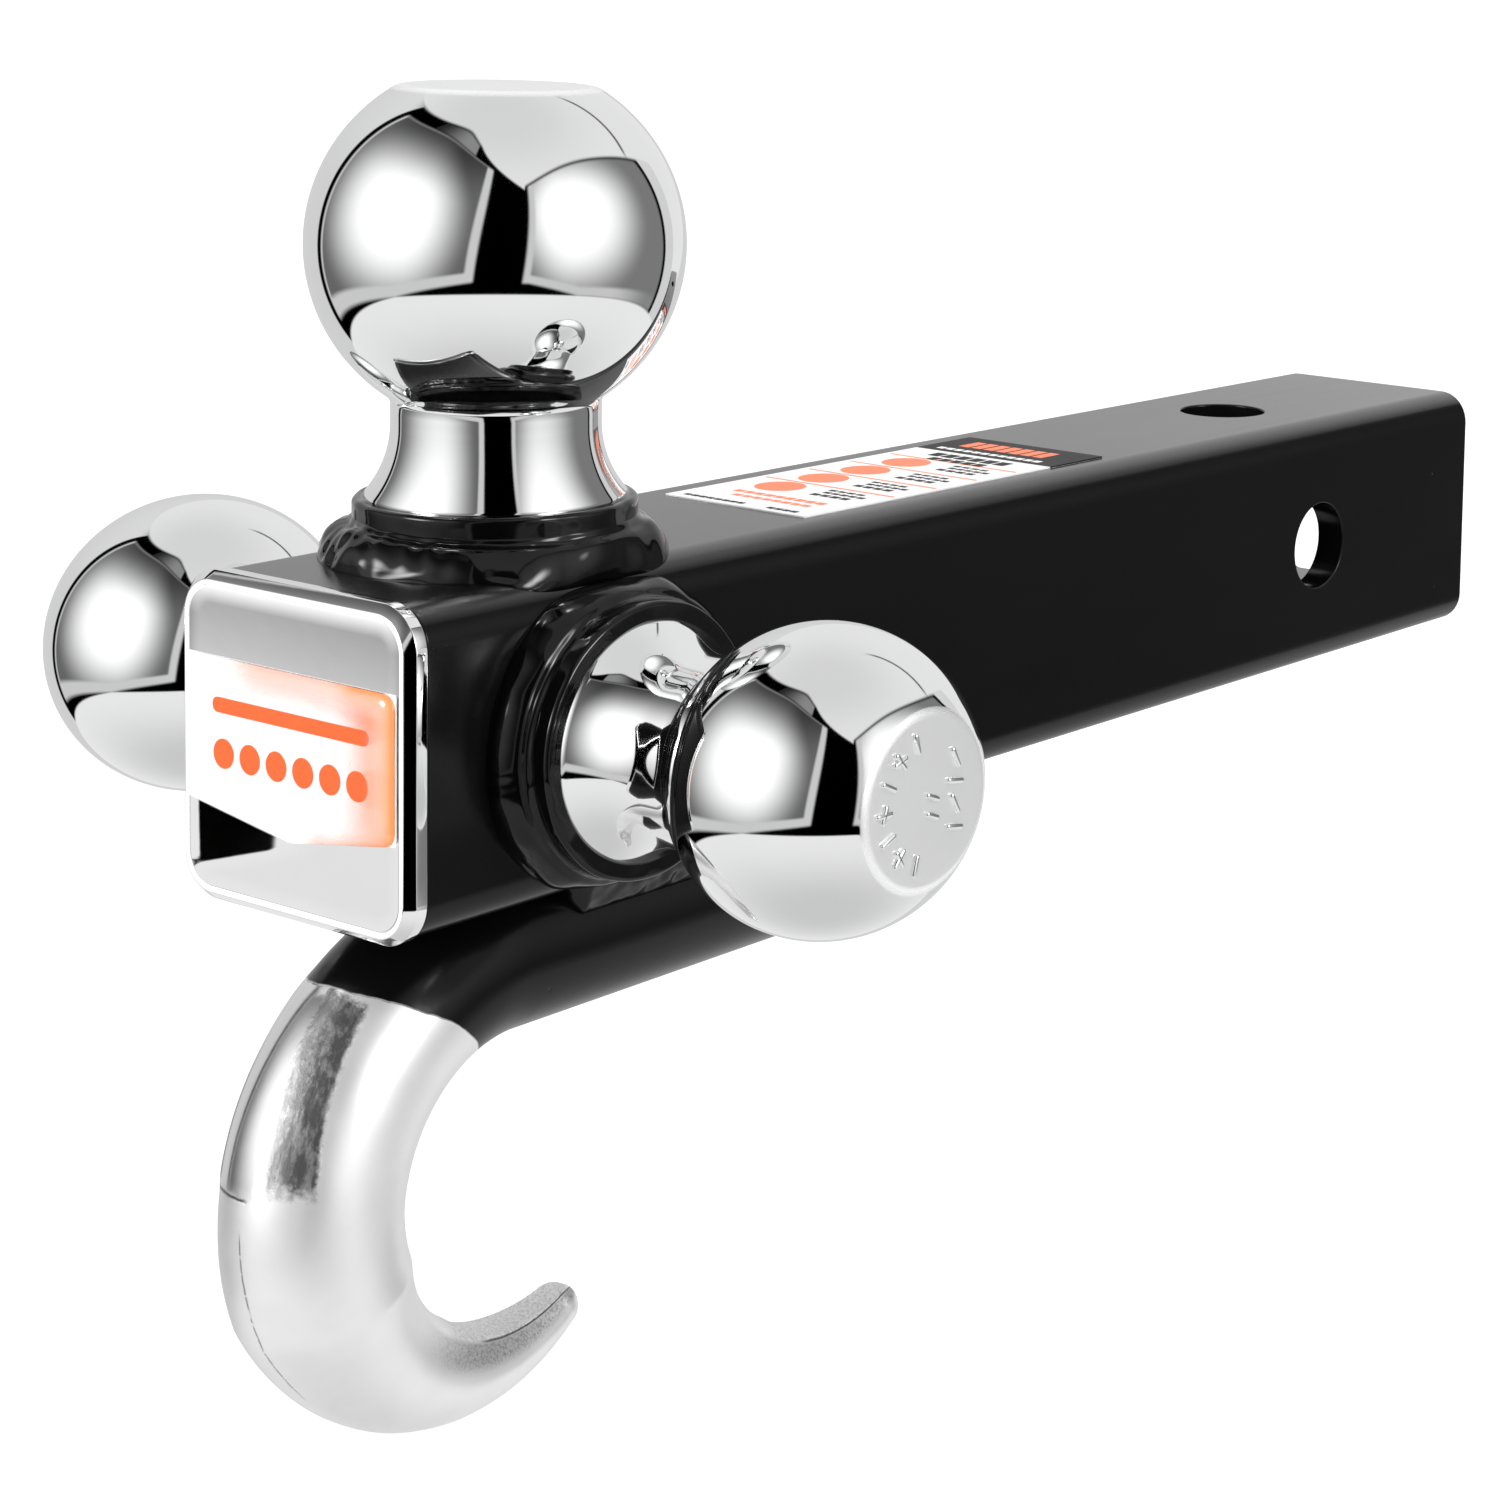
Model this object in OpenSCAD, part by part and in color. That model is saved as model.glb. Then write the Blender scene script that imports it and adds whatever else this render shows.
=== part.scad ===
// Three-ball hitch mount with a tow hook, for a 2 in square receiver.
// Origin: where the hitch pin's axis crosses the shank's centre line.
// +Y runs along the shank into the receiver, +Z is up, +X is the side of the small ball.

/* [Shank] */
// Outside width of the square shank
shank_w = 50.8; // [50:0.1:52]
// Thickness of the shank's wall
shank_wall = 6.35; // [5:0.05:7]
// Radius of the shank's outside corners
corner_r = 6.35; // [4:0.05:7]
// Radius of the shank's inside corners
inner_corner_r = 1.6; // [1:0.1:3]
// From the pin's axis back to the open end
rear_reach = 57.15; // [45:0.05:80]
// From the pin's axis forward to the capped end
front_reach = 236.6; // [234:0.1:260]
// Diameter of the hitch pin's holes
pin_hole_d = 17.5; // [16:0.1:19]

/* [Balls] */
// From the pin's axis forward to the plane of the three balls
ball_reach = 200; // [196:0.5:202]
// Diameter of the ball on top, 2-5/16 in
top_ball_d = 58.74; // [58:0.01:60]
// Diameter of the ball on the +X side, 1-7/8 in
near_ball_d = 47.63; // [47:0.01:49]
// Diameter of the ball on the -X side, 2 in
far_ball_d = 50.8; // [50:0.01:52]
// Height of the top ball's centre above the shank's face
top_ball_h = 49.4; // [47:0.1:54]
// Height of the +X ball's centre above the shank's face
near_ball_h = 44.8; // [42:0.1:48]
// Height of the -X ball's centre above the shank's face
far_ball_h = 46.7; // [44:0.1:50]
// Height of the painted collar under each neck
collar_h = 9.3; // [8:0.1:10]

/* [Tow hook] */
// Diameter of the bar, from the arm to where it begins to taper
bar_d = 27.5; // [26:0.1:29]
// Diameter of the bar at the blunt tip
tip_d = 8; // [6:0.1:12]
// From the pin's axis forward to the rear end of the arm
arm_end_reach = 118; // [108:1:130]
// From the pin's axis forward to where the arm begins to bend
bend_reach = 201.8; // [198:0.1:206]
// Centre line radius of the first bend
bend_r = 35; // [32:0.5:38]
// Centre line radius round the throat
throat_r = 34.5; // [32:0.1:38]
// Angle the bar has turned through where the throat's radius begins
bend_turn = 42; // [36:1:60]
// Angle the bar has turned through at its tip
hook_turn = 206.5; // [190:0.5:215]

/* [Front cap] */
// Width of the square cap
cap_w = 51.8; // [51:0.1:56]
// Thickness of the cap's plate
cap_t = 3.8; // [3:0.1:6]
// Length of the insert behind the cap
plug_l = 30; // [24:1:36]

/* [Stickers] */
// Width of the label on the shank
label_w = 32.5; // [26:0.5:36]
// Length of the label on the shank
label_l = 83; // [60:1:90]
// From the pin's axis forward to the label's rear edge
label_reach = 64; // [58:1:70]
// Height of the badge's clear dome
dome_t = 1.7; // [1.2:0.1:2.4]

/* [Hidden] */

$fn = 96;
eps = 0.01;
// How far a cutter runs past what it cuts
past = 1;
half_w = shank_w / 2;
bore_w = shank_w - 2 * shank_wall;

// Forged foot of a ball: radii of the collar, of the chromed base and of the neck
top_foot = [22.1, 20.8, 16.3];
side_foot = [21.9, 19.2, 15.2];
neck_top_h = 21;
flank_steps = 12;
// Share of a ball's diameter, below its centre, at which the neck ends inside it
neck_sink = 0.25;

// Weld beads round the collars
top_bead_r = 27.1;
side_bead_r = 25.2;
bead_h = 6.4;
bead_depth = 7;
// Section of a bead from its top to its foot, as shares of its reach and of its height
bead_section = [[0, 1], [0.35, 0.92], [0.75, 0.58], [1, 0.12]];

// Flat on the crown of each ball, measured from the ball's centre
top_flat = 25.1;
near_flat = 19.8;
far_flat = 21.2;

// Hook centre line, in the plane X = 0 as [y, z]
arm_z = -half_w - bar_d / 2;
bend_centre = [-bend_reach, arm_z - bend_r];
throat_centre = bend_centre + (bend_r - throat_r) * [-sin(bend_turn), cos(bend_turn)];
// Angle the bar has turned through where its taper begins
taper_turn = 110;
ring_step = 5.5;
ring_points = 40;
// Steps that round the tip, and the angle at which they stop short of a point
tip_steps = 4;
tip_lift = 88;

// Welds along the arm: leg of the fillet, how far it laps past the bar's side,
// how deep it reaches under the bar, its height as a share of the leg, and its draft
leg = 6.5;
weld_lap = 1.5;
weld_inset = 4;
weld_drop = 1.3;
weld_draft = 0.3;
// How far short of the bend the side welds stop
weld_end_gap = 4;
side_weld_front = bend_reach - weld_end_gap;
// Section of the weld across the arm's rear end, as shares of the leg
rear_weld_section = [[0, 0], [1, 0], [0.6, -0.7], [0, -1.1]];

// Cap details
cap_face = -front_reach - cap_t;
cap_corner_r = 7.2;
cap_rim = 1.4;
boss_w = 16;
boss_l = 11;
plug_fit = 0.1;
fin_gap = 3;
// How much of the insert's core shows behind its last fin
fin_end_gap = 1;
fin_w = bore_w - 2 * plug_fit;
fin_t = 2;
fin_count = 4;
first_fin = -front_reach + fin_gap;
last_fin = -front_reach + plug_l - fin_t - fin_end_gap;
core_w = 30;
core_wall = 3;
foil_t = 0.3;
label_t = 0.25;
// The label sits this far off the shank's centre line
label_shift = 1;
badge_w = 46.4;
badge_top = 13;
badge_corner = -9.8;
badge_point = -13.3;
// The dome's edge stands straight for this share of its height, then leans in by this much
dome_edge = 0.5;
dome_lean = 2.2;

// Square with rounded corners, centred
module rounded_square(w, r) {
    square([w, w - 2 * r], center = true);
    square([w - 2 * r, w], center = true);
    for (x = [-1, 1], y = [-1, 1])
        translate([x * (w / 2 - r), y * (w / 2 - r)]) circle(r);
}

// Square bar along Y with rounded edges, from y = front to y = rear
module square_bar(w, r, front, rear) {
    translate([0, rear, 0]) rotate([90, 0, 0])
        linear_extrude(rear - front) rounded_square(w, r);
}

// Hollow square shank with the cross-drilled pin holes
module shank_tube() {
    color([0.06, 0.06, 0.065])
    difference() {
        square_bar(shank_w, corner_r, -front_reach, rear_reach);
        square_bar(bore_w, inner_corner_r, -front_reach - past, rear_reach + past);
        rotate([0, 90, 0]) cylinder(d = pin_hole_d, h = shank_w + 2 * past, center = true);
        cylinder(d = pin_hole_d, h = shank_w + 2 * past, center = true);
    }
}

// Concave flank of a neck, from the chromed base up to the neck's narrowest part
function flank(base_r, neck_r) =
    let (rise = neck_top_h - collar_h, run = base_r - neck_r,
         r = (run * run + rise * rise) / (2 * run), sweep = asin(rise / r))
    [for (i = [0:flank_steps]) let (a = sweep * (1 - i / flank_steps))
        [neck_r + r - r * cos(a), neck_top_h - r * sin(a)]];

// One forging: collar, neck and ball, standing on z = 0
module ball_forging(ball_d, ball_h, flat, foot) {
    neck_end_h = ball_h - neck_sink * ball_d;
    cylinder(r = foot[0], h = collar_h);
    rotate_extrude() polygon(concat([[0, collar_h - eps], [foot[1], collar_h - eps]],
        flank(foot[1], foot[2]), [[foot[2], neck_end_h], [0, neck_end_h]]));
    difference() {
        translate([0, 0, ball_h]) sphere(d = ball_d);
        translate([0, 0, ball_h + flat + ball_d / 2]) cube([ball_d, ball_d, ball_d], center = true);
    }
}

// Places a ball and its weld: turn is the tilt about the shank's line
module at_ball_station(turn) {
    translate([0, -ball_reach, 0]) rotate([0, turn, 0]) translate([0, 0, half_w]) children();
}

module top_ball() {
    color([0.85, 0.85, 0.87])
    at_ball_station(0) ball_forging(top_ball_d, top_ball_h, top_flat, top_foot);
}

module near_ball() {
    color([0.85, 0.85, 0.87])
    at_ball_station(90) ball_forging(near_ball_d, near_ball_h, near_flat, side_foot);
}

module far_ball() {
    color([0.85, 0.85, 0.87])
    at_ball_station(-90) ball_forging(far_ball_d, far_ball_h, far_flat, side_foot);
}

// Weld bead round a collar, laid on the shank's face and rounded corners.
// It stops at the planes that bisect the corners, so that neighbouring beads only touch.
module collar_weld(turn, collar_r, bead_r) {
    reach = bead_r - collar_r;
    color([0.03, 0.03, 0.03])
    difference() {
        at_ball_station(turn) intersection() {
            rotate_extrude() polygon(concat([[collar_r, -bead_depth]],
                [for (share = bead_section) [collar_r + share[0] * reach, share[1] * bead_h]],
                [[bead_r, -bead_depth]]));
            translate([0, bead_r + past, 0]) rotate([90, 0, 0]) linear_extrude(2 * (bead_r + past))
                polygon([[0, -half_w], [half_w + bead_h, bead_h], [-half_w - bead_h, bead_h]]);
        }
        square_bar(shank_w, corner_r, -front_reach, rear_reach);
    }
}

module top_ball_weld() { collar_weld(0, top_foot[0], top_bead_r); }
module near_ball_weld() { collar_weld(90, side_foot[0], side_bead_r); }
module far_ball_weld() { collar_weld(-90, side_foot[0], side_bead_r); }

// Hook centre line and bar radius, by the angle the bar has turned through
function hook_centre(turn) = turn <= bend_turn
    ? bend_centre + bend_r * [-sin(turn), cos(turn)]
    : throat_centre + throat_r * [-sin(turn), cos(turn)];

function hook_radius(turn) = turn <= taper_turn
    ? bar_d / 2
    : bar_d / 2 + (tip_d - bar_d) / 2 * (turn - taper_turn) / (hook_turn - taper_turn);

// One ring of points round the bar: centre, radius and the bar's heading
function bar_ring(centre, r, turn) = [for (i = [0:ring_points - 1])
    let (a = 360 * i / ring_points)
    [r * cos(a), centre[0] - r * sin(a) * sin(turn), centre[1] + r * sin(a) * cos(turn)]];

// Rings that close the tip to a rounded end
function tip_rings() = [for (i = [1:tip_steps]) let (a = tip_lift * i / tip_steps)
    bar_ring(hook_centre(hook_turn) + tip_d / 2 * sin(a) * [-cos(hook_turn), -sin(hook_turn)],
        tip_d / 2 * cos(a), hook_turn)];

module tow_hook() {
    rings = concat([bar_ring([-arm_end_reach, arm_z], bar_d / 2, 0)],
        [for (turn = [0:ring_step:hook_turn - 1]) bar_ring(hook_centre(turn), hook_radius(turn), turn)],
        [bar_ring(hook_centre(hook_turn), tip_d / 2, hook_turn)], tip_rings());
    n = ring_points;
    last = (len(rings) - 1) * n;
    color([0.7, 0.7, 0.72])
    polyhedron(points = [for (ring = rings) each ring],
        faces = concat([[for (i = [0:n - 1]) i]],
            [for (k = [0:len(rings) - 2], i = [0:n - 1]) let (j = (i + 1) % n)
                [k * n + i, (k + 1) * n + i, (k + 1) * n + j, k * n + j]],
            [[for (i = [0:n - 1]) last + n - 1 - i]]));
}

// Fillet weld along one side of the arm, in the groove between the bar and the shank
module arm_side_weld(side) {
    color([0.03, 0.03, 0.03])
    difference() {
        translate([0, -arm_end_reach, 0]) rotate([90, 0, 0])
            linear_extrude(side_weld_front - arm_end_reach)
            polygon([[side * weld_inset, -half_w], [side * (bar_d / 2 + weld_lap), -half_w],
                [side * (bar_d / 2 - weld_draft), -half_w - weld_drop * leg],
                [side * (bar_d / 2 - weld_inset), -half_w - weld_drop * leg]]);
        translate([0, past - arm_end_reach, arm_z]) rotate([90, 0, 0])
            cylinder(d = bar_d, h = side_weld_front - arm_end_reach + 2 * past);
    }
}

module hook_weld_near() { arm_side_weld(1); }
module hook_weld_far() { arm_side_weld(-1); }

// Fillet weld across the rear end of the arm
module hook_weld_rear() {
    color([0.03, 0.03, 0.03])
    translate([weld_inset - bar_d / 2, -arm_end_reach, -half_w]) rotate([90, 0, 90])
        linear_extrude(bar_d - 2 * weld_inset) polygon(leg * rear_weld_section);
}

// Square cap: plate with a bevelled rim, and a boss that holds the insert
module front_cap() {
    color([0.85, 0.85, 0.87])
    union() {
        square_bar(cap_w, cap_corner_r, cap_face + cap_rim, -front_reach);
        hull() {
            square_bar(cap_w, cap_corner_r, cap_face + cap_rim, cap_face + cap_rim + eps);
            square_bar(cap_w - 2 * cap_rim, cap_corner_r - cap_rim, cap_face, cap_face + eps);
        }
        translate([-boss_w / 2, -front_reach - eps, -boss_w / 2])
            cube([boss_w, boss_l + eps, boss_w]);
    }
}

// Square insert with fins that grip the bore, hollow and open to the rear
module cap_plug() {
    color([0.09, 0.09, 0.09])
    difference() {
        union() {
            translate([-core_w / 2, -front_reach, -core_w / 2]) cube([core_w, plug_l, core_w]);
            for (i = [0:fin_count - 1])
                let (front = first_fin + i * (last_fin - first_fin) / (fin_count - 1))
                    square_bar(fin_w, inner_corner_r + plug_fit, front, front + fin_t);
        }
        translate([core_wall - core_w / 2, boss_l - front_reach, core_wall - core_w / 2])
            cube([core_w - 2 * core_wall, plug_l, core_w - 2 * core_wall]);
        translate([-boss_w / 2, -front_reach - past, -boss_w / 2])
            cube([boss_w, boss_l + 2 * past, boss_w]);
    }
}

// Badge outline, seen from the front: straight top, pointed lower edge
module badge_outline(inset) {
    w = badge_w / 2 - inset;
    polygon([[-w, badge_top - inset], [-w, badge_corner + inset], [0, badge_point + inset],
        [w, badge_corner + inset], [w, badge_top - inset]]);
}

module badge_layer(t, depth, inset) {
    translate([0, cap_face - depth, 0]) rotate([90, 0, 0]) linear_extrude(t) badge_outline(inset);
}

// Printed foil that sticks to the cap
module badge_foil() {
    color([0.95, 0.95, 0.95])
    badge_layer(foil_t, 0, 0);
}

// Clear resin dome over the foil
module badge_dome() {
    color([1, 0.9, 0.85, 0.5])
    hull() {
        badge_layer(dome_edge * dome_t, foil_t, 0);
        badge_layer(dome_t, foil_t, dome_lean);
    }
}

// Label on the shank's upper face
module rating_label() {
    color([0.95, 0.95, 0.95])
    translate([label_shift - label_w / 2, -label_reach - label_l, half_w])
        cube([label_w, label_l, label_t]);
}

shank_tube();
top_ball();
near_ball();
far_ball();
top_ball_weld();
near_ball_weld();
far_ball_weld();
tow_hook();
hook_weld_near();
hook_weld_far();
hook_weld_rear();
front_cap();
cap_plug();
badge_foil();
badge_dome();
rating_label();
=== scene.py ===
"""Looks for the three-ball hitch mount: studio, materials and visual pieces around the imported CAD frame.

Lengths in this script are millimetres, and become metres when a mesh is made.
Each piece is built in the frame's own axes: +Y along the shank into the receiver, +Z up.
"""

import math

import bmesh
import bpy
import numpy as np
from mathutils import Matrix, Vector, noise


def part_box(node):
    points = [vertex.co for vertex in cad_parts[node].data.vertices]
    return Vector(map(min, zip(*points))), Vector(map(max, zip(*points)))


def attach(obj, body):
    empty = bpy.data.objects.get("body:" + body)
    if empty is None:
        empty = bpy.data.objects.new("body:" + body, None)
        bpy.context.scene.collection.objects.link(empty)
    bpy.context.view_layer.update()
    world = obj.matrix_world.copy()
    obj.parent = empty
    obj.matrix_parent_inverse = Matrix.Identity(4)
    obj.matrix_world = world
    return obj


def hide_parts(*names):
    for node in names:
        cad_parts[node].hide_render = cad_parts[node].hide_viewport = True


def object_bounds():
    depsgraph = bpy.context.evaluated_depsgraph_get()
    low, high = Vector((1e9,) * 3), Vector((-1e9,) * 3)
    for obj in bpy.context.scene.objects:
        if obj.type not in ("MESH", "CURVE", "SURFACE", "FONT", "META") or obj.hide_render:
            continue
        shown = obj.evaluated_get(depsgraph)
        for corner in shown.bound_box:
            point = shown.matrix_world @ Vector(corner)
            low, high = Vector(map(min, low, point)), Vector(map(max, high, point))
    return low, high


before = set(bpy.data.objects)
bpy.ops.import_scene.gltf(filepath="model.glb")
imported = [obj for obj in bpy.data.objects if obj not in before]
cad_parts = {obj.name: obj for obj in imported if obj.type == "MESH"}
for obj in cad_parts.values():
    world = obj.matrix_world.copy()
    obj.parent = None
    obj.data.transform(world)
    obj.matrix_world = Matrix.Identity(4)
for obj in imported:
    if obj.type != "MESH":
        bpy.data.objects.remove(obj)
cad_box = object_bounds()

MM = 0.001
TURN = 2 * math.pi
# Points round every turned piece
LATHE_STEPS = 168


def node_box(node):
    """Lowest and highest corner of a CAD node, in millimetres."""
    low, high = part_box(node)
    return low / MM, high / MM


# ---------------------------------------------------------------- sizes read from the frame

tube_low, tube_high = node_box("shank_tube")
HALF_W = tube_high.x
FRONT_Y = tube_low.y
REAR_Y = tube_high.y

cap_low, cap_high = node_box("front_cap")
CAP_HALF = cap_high.x
CAP_FACE_Y = cap_low.y

foil_low, foil_high = node_box("badge_foil")
dome_low = node_box("badge_dome")[0]
label_low, label_high = node_box("rating_label")
arm_low, arm_high = node_box("tow_hook")
side_weld_low, side_weld_high = node_box("hook_weld_near")
rear_weld_low, rear_weld_high = node_box("hook_weld_rear")

BALL_Y = (node_box("top_ball")[0].y + node_box("top_ball")[1].y) / 2

# ---------------------------------------------------------------- sizes shared with the CAD source

WALL = 6.35
CORNER_R = 6.35
INNER_CORNER_R = 1.6
PIN_HOLE_R = 8.75
COLLAR_H = 9.3
NECK_TOP_H = 21.0
BEAD_H = 6.4

# Each ball: tilt about the shank, radius, height of its centre, flat above the centre,
# radii of the collar, of the chromed base and of the neck, and the bead's foot radius
STATIONS = {
    "top": dict(tilt=0, ball_r=29.37, centre_h=49.4, flat=25.1, foot=(22.1, 20.8, 16.3), bead_r=27.1),
    "near": dict(tilt=90, ball_r=23.815, centre_h=44.8, flat=19.8, foot=(21.9, 19.2, 15.2), bead_r=25.2),
    "far": dict(tilt=-90, ball_r=25.4, centre_h=46.7, flat=21.2, foot=(21.9, 19.2, 15.2), bead_r=25.2),
}

# Tow hook, as in the CAD source
ARM_R = (arm_high.x - arm_low.x) / 2
ARM_Z = -HALF_W - ARM_R
ARM_END_Y = arm_high.y
BEND_REACH = 201.8
BEND_R = 35.0
THROAT_R = 34.5
BEND_TURN = 42.0
HOOK_TURN = 206.5
TAPER_TURN = 110.0
TIP_R = 4.0


# ---------------------------------------------------------------- shader arithmetic


class Num:
    """A number inside a shader. Arithmetic on it adds Math nodes to its tree."""

    def __init__(self, tree, socket):
        self.tree = tree
        self.socket = socket

    def _math(self, operation, *others):
        return Num(self.tree, add_node(self.tree, "Math", self, *others, operation=operation).outputs[0])

    def __add__(self, other):
        return self._math("ADD", other)

    __radd__ = __add__

    def __mul__(self, other):
        return self._math("MULTIPLY", other)

    __rmul__ = __mul__

    def __sub__(self, other):
        return self._math("SUBTRACT", other)

    def __neg__(self):
        return self * -1.0

    def __rsub__(self, other):
        return -self + other

    def __truediv__(self, other):
        return self._math("DIVIDE", other)

    def power(self, other):
        return self._math("POWER", other)

    def least(self, other):
        return self._math("MINIMUM", other)

    def most(self, other):
        return self._math("MAXIMUM", other)

    def size(self):
        return self._math("ABSOLUTE")

    def root(self):
        return self._math("SQRT")

    def bearing(self, other):
        """Angle of the point (other, self) from the first axis, in radians."""
        return self._math("ARCTAN2", other)

    def arc_sine(self):
        return self._math("ARCSINE")

    def rise(self, low, high, start=0.0, end=1.0):
        """start below low, end above high, and smooth between them."""
        node = add_node(self.tree, "MapRange", interpolation_type="SMOOTHSTEP")
        limits = {"From Min": low, "From Max": high, "To Min": start, "To Max": end}
        for name, value in {"Value": self, **limits}.items():
            feed(self.tree, value, node.inputs[name])
        return Num(self.tree, node.outputs["Result"])

    def bump(self, centre, half_width):
        """1 at centre, 0 from half_width away on either side."""
        return (self - centre).size().rise(0.0, half_width, 1.0, 0.0)


def feed(tree, value, slot):
    """Puts a number, a colour, a socket or a Num into an input."""
    if isinstance(value, Num):
        value = value.socket
    if isinstance(value, bpy.types.NodeSocket):
        tree.links.new(value, slot)
    else:
        slot.default_value = value


def add_node(tree, kind, *values, **settings):
    """A new shader node with its settings made first and its first inputs fed after that."""
    node = tree.nodes.new("ShaderNode" + kind)
    for name, value in settings.items():
        setattr(node, name, value)
    for slot, value in zip(node.inputs, values):
        feed(tree, value, slot)
    return node


def split(tree, vector):
    """The three parts of a vector socket."""
    return [Num(tree, part) for part in add_node(tree, "SeparateXYZ", vector).outputs]


def blend_colour(tree, factor, first, second):
    """A colour that runs from first to second as factor goes from 0 to 1."""
    node = add_node(tree, "Mix", data_type="RGBA")
    feed(tree, factor, node.inputs["Factor"])
    feed(tree, first, node.inputs["A"])
    feed(tree, second, node.inputs["B"])
    return node.outputs["Result"]


def grey(value):
    return (value, value, value, 1.0)


class Finish:
    """A material being put together: one Principled shader, fed from the piece's own place in millimetres."""

    def __init__(self, name):
        self.material = bpy.data.materials.new(name)
        self.material.use_nodes = True
        self.tree = self.material.node_tree
        self.shader = self.tree.nodes["Principled BSDF"]
        place = add_node(self.tree, "TexCoord").outputs["Object"]
        scaled = add_node(self.tree, "VectorMath", place, operation="SCALE")
        scaled.inputs["Scale"].default_value = 1 / MM
        self.place = scaled.outputs[0]
        self.x, self.y, self.z = split(self.tree, self.place)

    def _at(self, size, stretch):
        """The coordinates measured in steps of size, with each axis drawn out by its share in stretch."""
        steps = [1 / (size * share) for share in stretch]
        return add_node(self.tree, "VectorMath", self.place, steps, operation="MULTIPLY").outputs[0]

    def noise(self, size, detail=2.0, rough=0.5, stretch=(1, 1, 1)):
        """Soft noise from 0 to 1 whose blobs are about size wide."""
        node = add_node(self.tree, "TexNoise", self._at(size, stretch))
        node.inputs["Scale"].default_value = 1.0
        node.inputs["Detail"].default_value = detail
        node.inputs["Roughness"].default_value = rough
        return Num(self.tree, node.outputs["Fac"])

    def cells(self, size):
        """Distance to the nearest of a scatter of points about size apart, in steps of size."""
        node = add_node(self.tree, "TexVoronoi", self._at(size, (1, 1, 1)))
        node.inputs["Scale"].default_value = 1.0
        return Num(self.tree, node.outputs["Distance"])

    def stored(self, name):
        """A value stored on the mesh's points under name."""
        return Num(self.tree, add_node(self.tree, "Attribute", attribute_name=name).outputs["Fac"])

    def mix(self, factor, first, second):
        return blend_colour(self.tree, factor, first, second)

    def set(self, **values):
        """Feeds inputs of the Principled shader, named with _ for spaces."""
        for name, value in values.items():
            feed(self.tree, value, self.shader.inputs[name.replace("_", " ").title().replace("Ior", "IOR")])

    def facing_up(self):
        """Height part of the surface's normal: 1 on an upper face, 0 on an upright one."""
        return split(self.tree, add_node(self.tree, "NewGeometry").outputs["Normal"])[2]

    def lean(self, x, y, z):
        """Tips the shading normal by adding a small vector to it."""
        normal = add_node(self.tree, "NewGeometry").outputs["Normal"]
        extra = add_node(self.tree, "CombineXYZ", x, y, z).outputs[0]
        total = add_node(self.tree, "VectorMath", normal, extra, operation="ADD").outputs[0]
        unit = add_node(self.tree, "VectorMath", total, operation="NORMALIZE").outputs[0]
        feed(self.tree, unit, self.shader.inputs["Normal"])

    def relief(self, height, depth):
        """Bump from a height of 0 to 1 that stands for depth millimetres. Each call adds to the last one."""
        node = add_node(self.tree, "Bump")
        node.inputs["Distance"].default_value = depth * MM
        feed(self.tree, height, node.inputs["Height"])
        slot = self.shader.inputs["Normal"]
        if slot.is_linked:
            self.tree.links.new(slot.links[0].from_socket, node.inputs["Normal"])
        self.tree.links.new(node.outputs[0], slot)
        return self


# ---------------------------------------------------------------- materials


def powder_coat():
    """Satin black paint of the shank: fine orange peel, faint lengthwise drag, a little dust.
    Upper faces shine more than upright ones, as under a studio's ceiling light."""
    finish = Finish("powder_coat")
    peel = finish.noise(1.1, detail=3)
    drag = finish.noise(2.4, stretch=(1, 40, 1))
    patches = finish.noise(26, detail=3, stretch=(1, 3, 1))
    dust = finish.cells(4.5).rise(0.03, 0.055, 1.0, 0.0) * finish.noise(9).rise(0.52, 0.62)
    dust = dust * finish.y.rise(-10, 25)
    base = finish.mix(patches, grey(0.0018), grey(0.0045))
    finish.set(base_color=finish.mix(dust * 0.7, base, grey(0.2)))
    finish.set(roughness=0.15 + 0.06 * patches + 0.04 * drag)
    finish.set(ior=finish.facing_up().rise(0.55, 1.0, 1.27, 2.0))
    finish.relief(peel, 0.006).relief(drag, 0.005)
    return finish.material


def painted_weld():
    """The same paint where it lies thick and wet-looking over the weld beads and collars."""
    finish = Finish("painted_weld")
    pools = finish.noise(7, detail=2)
    pits = finish.cells(3.2).rise(0.05, 0.14, 1.0, 0.0) * finish.noise(9).rise(0.58, 0.7)
    finish.set(base_color=finish.mix(pools, grey(0.001), grey(0.003)))
    finish.set(roughness=0.05 + 0.07 * pools, ior=1.38)
    finish.relief(finish.noise(9, detail=1), 0.8).relief(pits, -0.06)
    return finish.material


def ball_chrome():
    """Bright plating with hazy patches and faint hairlines, duller on the flat of the crown."""
    finish = Finish("ball_chrome")
    haze = finish.noise(11, detail=4)
    hairline = finish.noise(0.5, stretch=(30, 30, 1))
    crown = finish.stored("crown")
    flatten = [finish.stored("lean_" + axis) for axis in "xyz"]
    finish.set(base_color=finish.mix(haze, grey(0.90), (0.94, 0.945, 0.95, 1.0)))
    finish.set(roughness=0.018 + 0.025 * haze + 0.26 * crown + 0.01 * hairline)
    finish.set(metallic=1 - 0.34 * crown)
    finish.lean(*flatten)
    finish.relief(finish.noise(0.35, detail=2) * crown, 0.008)
    return finish.material


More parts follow.
